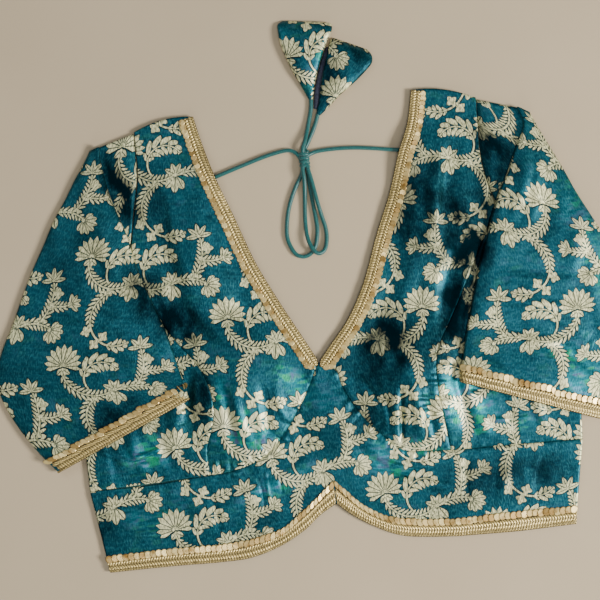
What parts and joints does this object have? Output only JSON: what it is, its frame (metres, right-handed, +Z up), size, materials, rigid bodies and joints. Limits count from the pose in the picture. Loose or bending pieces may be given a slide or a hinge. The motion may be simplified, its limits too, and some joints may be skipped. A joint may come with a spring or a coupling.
{
  "type": "choli blouse",
  "caption": "Brocade choli blouse laid flat, with elbow sleeves, deep V neck, shaped hem, lace edging and a back tie with tassel pouches.",
  "frame": {"origin": "on the surface it lies on, under the middle of the laid-out blouse without its tie", "axes": "+X across the garment towards the sleeve on the right of the front view, +Y from hem to shoulders, +Z up from the surface"},
  "size_m": [0.5431, 0.4512, 0.0169],
  "materials": {
    "brocade": "teal shot silk with a woven gold creeper pattern, soft satin sheen",
    "gota_lace": "woven gold metallic braid with sequins on its inner edge",
    "tie_cord": "smooth bias-cut satin cord, teal green"
  },
  "bodies": {
    "root": {"back_left": "brocade", "back_right": "brocade", "front_left_cup": "brocade", "front_left_side": "brocade", "front_right_cup": "brocade", "front_right_side": "brocade", "front_midriff": "brocade", "sleeve_left": "brocade", "sleeve_right": "brocade", "latkan_left": "brocade", "latkan_right": "brocade", "neck_trim_left": "gota_lace", "neck_trim_right": "gota_lace", "hem_trim_left": "gota_lace", "hem_trim_right": "gota_lace", "cuff_trim_left": "gota_lace", "cuff_trim_right": "gota_lace", "dori_span_left": "tie_cord", "dori_span_right": "tie_cord", "dori_loop_left": "tie_cord", "dori_loop_right": "tie_cord", "dori_tail_left": "tie_cord", "dori_tail_right": "tie_cord", "dori_knot": "tie_cord"}
  },
  "joints": []
}
